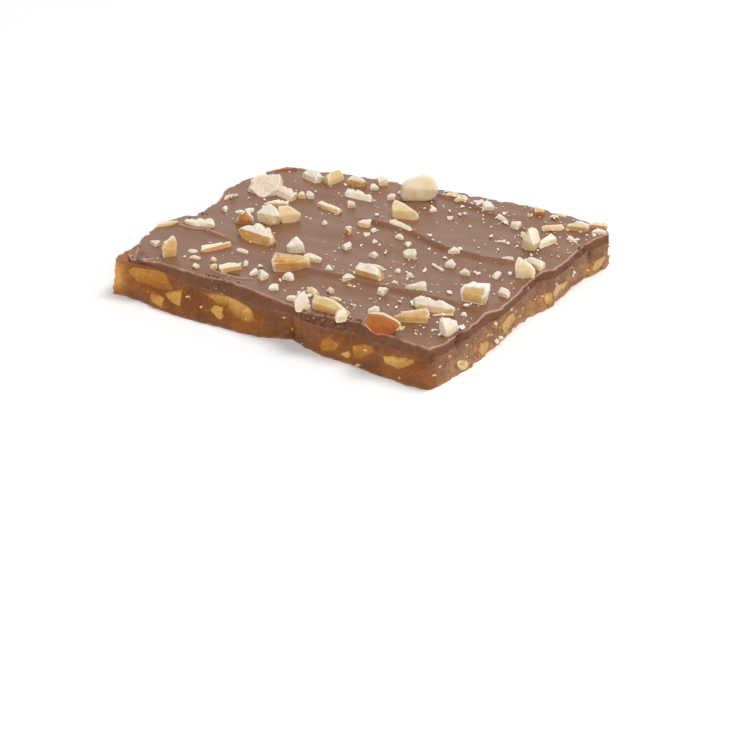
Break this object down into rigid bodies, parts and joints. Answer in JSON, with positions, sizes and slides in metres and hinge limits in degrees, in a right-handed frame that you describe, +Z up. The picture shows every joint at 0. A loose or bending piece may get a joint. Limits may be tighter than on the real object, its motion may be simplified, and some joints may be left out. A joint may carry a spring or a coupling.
{
  "type": "almond butter crunch toffee",
  "caption": "broken shard of amber butter toffee full of almonds, coated on top with milk chocolate and strewn with chopped roasted almonds, lying flat",
  "frame": {"origin": "middle of the bounding box, on the surface that the shard lies on", "axes": "+X along the long front break, +Y across the shard towards the back break, +Z up out of the chocolate"},
  "size_m": [0.0884, 0.0787, 0.014],
  "materials": {
    "toffee": "amber brown boiled butter sugar, glassy and slightly translucent at the breaks, with golden roasted almonds laid bare",
    "chocolate": "satin milk chocolate with soft spatula ridges, duller where it broke",
    "almond": "chopped roasted almond, cream where it is cut and golden tan outside, dry and matt"
  },
  "bodies": {
    "root": {"toffee": "toffee", "chocolate": "chocolate"}
  },
  "joints": []
}
